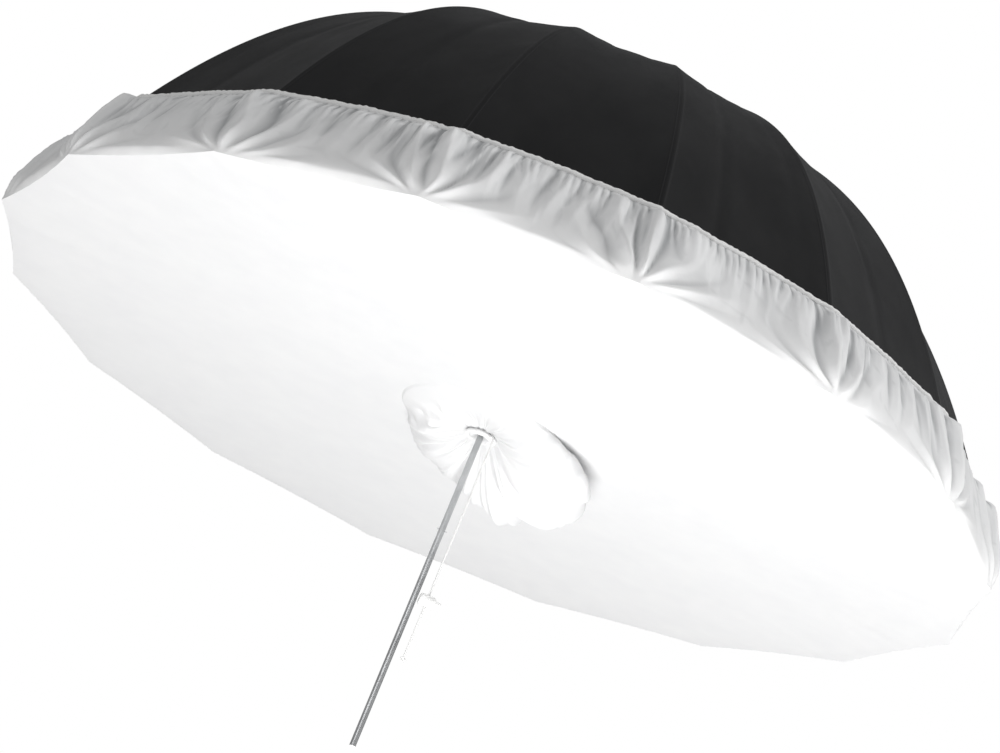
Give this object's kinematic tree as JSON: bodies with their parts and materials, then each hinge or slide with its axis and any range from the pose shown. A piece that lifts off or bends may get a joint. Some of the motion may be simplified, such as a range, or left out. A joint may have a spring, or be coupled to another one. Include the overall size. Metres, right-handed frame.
{
  "type": "umbrella reflector",
  "caption": "Deep studio umbrella reflector, black outside, with a white stretch diffuser over its mouth, a central sleeve and a thin steel shaft; the frame folds.",
  "frame": {"origin": "the point on the shaft's axis where a lamp head or stand clamp grips it, 0.14 m above the shaft's free end", "axes": "+Z along the shaft towards the canopy's apex; +X through rib_01"},
  "size_m": [1.3026, 1.3026, 0.901],
  "materials": {
    "steel": "drawn steel tube and wire",
    "rib_steel": "black lacquered spring steel",
    "black_plastic": "moulded nylon",
    "white_plastic": "moulded acetal",
    "shell_fabric": "tight black woven polyester",
    "lining_fabric": "silver coated polyester",
    "cover_fabric": "white stretch nylon",
    "elastic": "covered elastic",
    "cord": "braided polyester cord"
  },
  "bodies": {
    "shaft_and_canopy": {"shaft_tube": "steel", "shaft_end_plug": "white_plastic", "catch_pin": "steel", "stop_pin": "steel", "crown": "black_plastic", "crown_ring": "steel", "ferrule_cap": "black_plastic", "canopy_washer": "steel", "canopy_outer": "shell_fabric", "canopy_lining": "lining_fabric"},
    "runner": {"runner_body": "black_plastic", "runner_ring": "steel"},
    "rib_01": {"rib_01": "rib_steel"},
    "rib_02": {"rib_02": "rib_steel"},
    "rib_03": {"rib_03": "rib_steel"},
    "rib_04": {"rib_04": "rib_steel"},
    "rib_05": {"rib_05": "rib_steel"},
    "rib_06": {"rib_06": "rib_steel"},
    "rib_07": {"rib_07": "rib_steel"},
    "rib_08": {"rib_08": "rib_steel"},
    "rib_09": {"rib_09": "rib_steel"},
    "rib_10": {"rib_10": "rib_steel"},
    "rib_11": {"rib_11": "rib_steel"},
    "rib_12": {"rib_12": "rib_steel"},
    "rib_13": {"rib_13": "rib_steel"},
    "rib_14": {"rib_14": "rib_steel"},
    "rib_15": {"rib_15": "rib_steel"},
    "rib_16": {"rib_16": "rib_steel"},
    "stretcher_01": {"stretcher_01": "rib_steel"},
    "stretcher_02": {"stretcher_02": "rib_steel"},
    "stretcher_03": {"stretcher_03": "rib_steel"},
    "stretcher_04": {"stretcher_04": "rib_steel"},
    "stretcher_05": {"stretcher_05": "rib_steel"},
    "stretcher_06": {"stretcher_06": "rib_steel"},
    "stretcher_07": {"stretcher_07": "rib_steel"},
    "stretcher_08": {"stretcher_08": "rib_steel"},
    "stretcher_09": {"stretcher_09": "rib_steel"},
    "stretcher_10": {"stretcher_10": "rib_steel"},
    "stretcher_11": {"stretcher_11": "rib_steel"},
    "stretcher_12": {"stretcher_12": "rib_steel"},
    "stretcher_13": {"stretcher_13": "rib_steel"},
    "stretcher_14": {"stretcher_14": "rib_steel"},
    "stretcher_15": {"stretcher_15": "rib_steel"},
    "stretcher_16": {"stretcher_16": "rib_steel"},
    "cover": {"cover_face": "cover_fabric", "cover_skirt": "cover_fabric", "cover_hem": "elastic", "cover_sleeve": "cover_fabric", "sleeve_casing": "cover_fabric", "drawstring": "cord", "cord_lock_body": "white_plastic", "cord_lock_spring": "steel", "drawstring_knot": "cord"},
    "top_catch": {"top_catch": "steel"},
    "cord_lock_plunger": {"cord_lock_plunger": "white_plastic"}
  },
  "joints": [
    {"name": "runner_slide", "type": "slide", "parent": "shaft_and_canopy", "child": "runner", "axis": [0, 0, -1], "range_m": [0, 0.3698], "deforming": ["canopy_outer", "canopy_lining"]},
    {"name": "rib_01_fold", "type": "hinge", "parent": "shaft_and_canopy", "child": "rib_01", "pos_m": [0.013, 0, 0.7392], "axis": [0, 1, 0], "range_deg": [0, 54]},
    {"name": "rib_02_fold", "type": "hinge", "parent": "shaft_and_canopy", "child": "rib_02", "pos_m": [0.01201, 0.00498, 0.7392], "axis": [-0.3827, 0.9239, 0], "range_deg": [0, 54]},
    {"name": "rib_03_fold", "type": "hinge", "parent": "shaft_and_canopy", "child": "rib_03", "pos_m": [0.00919, 0.00919, 0.7392], "axis": [-0.7071, 0.7071, 0], "range_deg": [0, 54]},
    {"name": "rib_04_fold", "type": "hinge", "parent": "shaft_and_canopy", "child": "rib_04", "pos_m": [0.00498, 0.01201, 0.7392], "axis": [-0.9239, 0.3827, 0], "range_deg": [0, 54]},
    {"name": "rib_05_fold", "type": "hinge", "parent": "shaft_and_canopy", "child": "rib_05", "pos_m": [0, 0.013, 0.7392], "axis": [-1, 0, 0], "range_deg": [0, 54]},
    {"name": "rib_06_fold", "type": "hinge", "parent": "shaft_and_canopy", "child": "rib_06", "pos_m": [-0.00498, 0.01201, 0.7392], "axis": [-0.9239, -0.3827, 0], "range_deg": [0, 54]},
    {"name": "rib_07_fold", "type": "hinge", "parent": "shaft_and_canopy", "child": "rib_07", "pos_m": [-0.00919, 0.00919, 0.7392], "axis": [-0.7071, -0.7071, 0], "range_deg": [0, 54]},
    {"name": "rib_08_fold", "type": "hinge", "parent": "shaft_and_canopy", "child": "rib_08", "pos_m": [-0.01201, 0.00498, 0.7392], "axis": [-0.3827, -0.9239, 0], "range_deg": [0, 54]},
    {"name": "rib_09_fold", "type": "hinge", "parent": "shaft_and_canopy", "child": "rib_09", "pos_m": [-0.013, 0, 0.7392], "axis": [0, -1, 0], "range_deg": [0, 54]},
    {"name": "rib_10_fold", "type": "hinge", "parent": "shaft_and_canopy", "child": "rib_10", "pos_m": [-0.01201, -0.00498, 0.7392], "axis": [0.3827, -0.9239, 0], "range_deg": [0, 54]},
    {"name": "rib_11_fold", "type": "hinge", "parent": "shaft_and_canopy", "child": "rib_11", "pos_m": [-0.00919, -0.00919, 0.7392], "axis": [0.7071, -0.7071, 0], "range_deg": [0, 54]},
    {"name": "rib_12_fold", "type": "hinge", "parent": "shaft_and_canopy", "child": "rib_12", "pos_m": [-0.00498, -0.01201, 0.7392], "axis": [0.9239, -0.3827, 0], "range_deg": [0, 54]},
    {"name": "rib_13_fold", "type": "hinge", "parent": "shaft_and_canopy", "child": "rib_13", "pos_m": [0, -0.013, 0.7392], "axis": [1, 0, 0], "range_deg": [0, 54]},
    {"name": "rib_14_fold", "type": "hinge", "parent": "shaft_and_canopy", "child": "rib_14", "pos_m": [0.00498, -0.01201, 0.7392], "axis": [0.9239, 0.3827, 0], "range_deg": [0, 54]},
    {"name": "rib_15_fold", "type": "hinge", "parent": "shaft_and_canopy", "child": "rib_15", "pos_m": [0.00919, -0.00919, 0.7392], "axis": [0.7071, 0.7071, 0], "range_deg": [0, 54]},
    {"name": "rib_16_fold", "type": "hinge", "parent": "shaft_and_canopy", "child": "rib_16", "pos_m": [0.01201, -0.00498, 0.7392], "axis": [0.3827, 0.9239, 0], "range_deg": [0, 54]},
    {"name": "stretcher_01_fold", "type": "hinge", "parent": "runner", "child": "stretcher_01", "pos_m": [0.013, 0, 0.57], "axis": [0, 1, 0], "range_deg": [-42, 0]},
    {"name": "stretcher_02_fold", "type": "hinge", "parent": "runner", "child": "stretcher_02", "pos_m": [0.01201, 0.00498, 0.57], "axis": [-0.3827, 0.9239, 0], "range_deg": [-42, 0]},
    {"name": "stretcher_03_fold", "type": "hinge", "parent": "runner", "child": "stretcher_03", "pos_m": [0.00919, 0.00919, 0.57], "axis": [-0.7071, 0.7071, 0], "range_deg": [-42, 0]},
    {"name": "stretcher_04_fold", "type": "hinge", "parent": "runner", "child": "stretcher_04", "pos_m": [0.00498, 0.01201, 0.57], "axis": [-0.9239, 0.3827, 0], "range_deg": [-42, 0]},
    {"name": "stretcher_05_fold", "type": "hinge", "parent": "runner", "child": "stretcher_05", "pos_m": [0, 0.013, 0.57], "axis": [-1, 0, 0], "range_deg": [-42, 0]},
    {"name": "stretcher_06_fold", "type": "hinge", "parent": "runner", "child": "stretcher_06", "pos_m": [-0.00498, 0.01201, 0.57], "axis": [-0.9239, -0.3827, 0], "range_deg": [-42, 0]},
    {"name": "stretcher_07_fold", "type": "hinge", "parent": "runner", "child": "stretcher_07", "pos_m": [-0.00919, 0.00919, 0.57], "axis": [-0.7071, -0.7071, 0], "range_deg": [-42, 0]},
    {"name": "stretcher_08_fold", "type": "hinge", "parent": "runner", "child": "stretcher_08", "pos_m": [-0.01201, 0.00498, 0.57], "axis": [-0.3827, -0.9239, 0], "range_deg": [-42, 0]},
    {"name": "stretcher_09_fold", "type": "hinge", "parent": "runner", "child": "stretcher_09", "pos_m": [-0.013, 0, 0.57], "axis": [0, -1, 0], "range_deg": [-42, 0]},
    {"name": "stretcher_10_fold", "type": "hinge", "parent": "runner", "child": "stretcher_10", "pos_m": [-0.01201, -0.00498, 0.57], "axis": [0.3827, -0.9239, 0], "range_deg": [-42, 0]},
    {"name": "stretcher_11_fold", "type": "hinge", "parent": "runner", "child": "stretcher_11", "pos_m": [-0.00919, -0.00919, 0.57], "axis": [0.7071, -0.7071, 0], "range_deg": [-42, 0]},
    {"name": "stretcher_12_fold", "type": "hinge", "parent": "runner", "child": "stretcher_12", "pos_m": [-0.00498, -0.01201, 0.57], "axis": [0.9239, -0.3827, 0], "range_deg": [-42, 0]},
    {"name": "stretcher_13_fold", "type": "hinge", "parent": "runner", "child": "stretcher_13", "pos_m": [0, -0.013, 0.57], "axis": [1, 0, 0], "range_deg": [-42, 0]},
    {"name": "stretcher_14_fold", "type": "hinge", "parent": "runner", "child": "stretcher_14", "pos_m": [0.00498, -0.01201, 0.57], "axis": [0.9239, 0.3827, 0], "range_deg": [-42, 0]},
    {"name": "stretcher_15_fold", "type": "hinge", "parent": "runner", "child": "stretcher_15", "pos_m": [0.00919, -0.00919, 0.57], "axis": [0.7071, 0.7071, 0], "range_deg": [-42, 0]},
    {"name": "stretcher_16_fold", "type": "hinge", "parent": "runner", "child": "stretcher_16", "pos_m": [0.01201, -0.00498, 0.57], "axis": [0.3827, 0.9239, 0], "range_deg": [-42, 0]},
    {"name": "cover_slide", "type": "slide", "parent": "shaft_and_canopy", "child": "cover", "axis": [0, 0, -1], "range_m": [0, 0.82]},
    {"name": "top_catch_press", "type": "hinge", "parent": "shaft_and_canopy", "child": "top_catch", "pos_m": [0, 0, 0.4962], "axis": [0, -1, 0], "range_deg": [0, 6.5], "stiffness_Nm_per_rad": 0.4, "springref_deg": -2.86},
    {"name": "cord_lock_press", "type": "slide", "parent": "cover", "child": "cord_lock_plunger", "axis": [-1, 0, 0], "range_m": [0, 0.003], "stiffness_N_per_m": 700, "springref_m": -0.002, "deforming": ["cord_lock_spring"]}
  ],
  "couplings": [
    {"joint": "rib_01_fold", "follows": "runner_slide", "rad_per_m": 2.5254},
    {"joint": "rib_02_fold", "follows": "runner_slide", "rad_per_m": 2.5254},
    {"joint": "rib_03_fold", "follows": "runner_slide", "rad_per_m": 2.5254},
    {"joint": "rib_04_fold", "follows": "runner_slide", "rad_per_m": 2.5254},
    {"joint": "rib_05_fold", "follows": "runner_slide", "rad_per_m": 2.5254},
    {"joint": "rib_06_fold", "follows": "runner_slide", "rad_per_m": 2.5254},
    {"joint": "rib_07_fold", "follows": "runner_slide", "rad_per_m": 2.5254},
    {"joint": "rib_08_fold", "follows": "runner_slide", "rad_per_m": 2.5254},
    {"joint": "rib_09_fold", "follows": "runner_slide", "rad_per_m": 2.5254},
    {"joint": "rib_10_fold", "follows": "runner_slide", "rad_per_m": 2.5254},
    {"joint": "rib_11_fold", "follows": "runner_slide", "rad_per_m": 2.5254},
    {"joint": "rib_12_fold", "follows": "runner_slide", "rad_per_m": 2.5254},
    {"joint": "rib_13_fold", "follows": "runner_slide", "rad_per_m": 2.5254},
    {"joint": "rib_14_fold", "follows": "runner_slide", "rad_per_m": 2.5254},
    {"joint": "rib_15_fold", "follows": "runner_slide", "rad_per_m": 2.5254},
    {"joint": "rib_16_fold", "follows": "runner_slide", "rad_per_m": 2.5254},
    {"joint": "stretcher_01_fold", "follows": "runner_slide", "rad_per_m": -1.959},
    {"joint": "stretcher_02_fold", "follows": "runner_slide", "rad_per_m": -1.959},
    {"joint": "stretcher_03_fold", "follows": "runner_slide", "rad_per_m": -1.959},
    {"joint": "stretcher_04_fold", "follows": "runner_slide", "rad_per_m": -1.959},
    {"joint": "stretcher_05_fold", "follows": "runner_slide", "rad_per_m": -1.959},
    {"joint": "stretcher_06_fold", "follows": "runner_slide", "rad_per_m": -1.959},
    {"joint": "stretcher_07_fold", "follows": "runner_slide", "rad_per_m": -1.959},
    {"joint": "stretcher_08_fold", "follows": "runner_slide", "rad_per_m": -1.959},
    {"joint": "stretcher_09_fold", "follows": "runner_slide", "rad_per_m": -1.959},
    {"joint": "stretcher_10_fold", "follows": "runner_slide", "rad_per_m": -1.959},
    {"joint": "stretcher_11_fold", "follows": "runner_slide", "rad_per_m": -1.959},
    {"joint": "stretcher_12_fold", "follows": "runner_slide", "rad_per_m": -1.959},
    {"joint": "stretcher_13_fold", "follows": "runner_slide", "rad_per_m": -1.959},
    {"joint": "stretcher_14_fold", "follows": "runner_slide", "rad_per_m": -1.959},
    {"joint": "stretcher_15_fold", "follows": "runner_slide", "rad_per_m": -1.959},
    {"joint": "stretcher_16_fold", "follows": "runner_slide", "rad_per_m": -1.959},
    {"joint": "cover_slide", "follows": "runner_slide", "ratio": 2.2}
  ]
}
